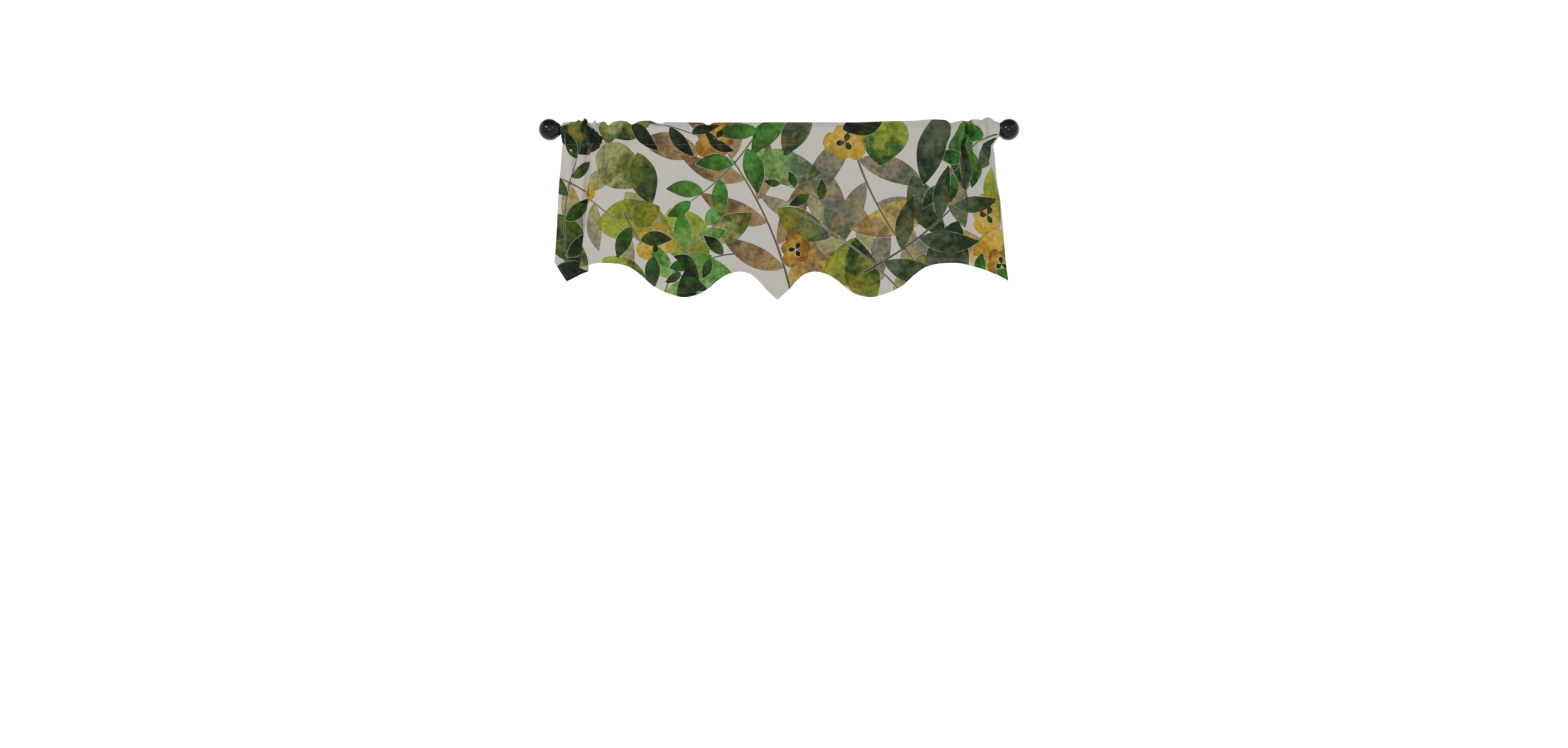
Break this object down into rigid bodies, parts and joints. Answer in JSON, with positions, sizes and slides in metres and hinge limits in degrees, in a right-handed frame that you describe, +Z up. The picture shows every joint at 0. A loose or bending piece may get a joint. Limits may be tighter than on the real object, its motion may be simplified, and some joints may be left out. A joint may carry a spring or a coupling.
{
  "type": "window valance on curtain rod",
  "caption": "Scalloped cloth window valance threaded by its rod pocket on a round curtain rod, with a ball finial at each end; it dresses the top of a window.",
  "frame": {"origin": "middle of the rod's axis", "axes": "+X along the rod to the right as seen from the room, -Y into the room, +Z up"},
  "size_m": [1.1676, 0.0606, 0.4428],
  "materials": {
    "printed_cotton": "matt plain weave, leaf print",
    "rod_bronze": "dark bronze, satin",
    "finial_bronze": "dark bronze, gloss"
  },
  "bodies": {
    "root": {"valance": "printed_cotton", "rod": "rod_bronze", "finial_left": "finial_bronze", "finial_right": "finial_bronze"}
  },
  "joints": []
}
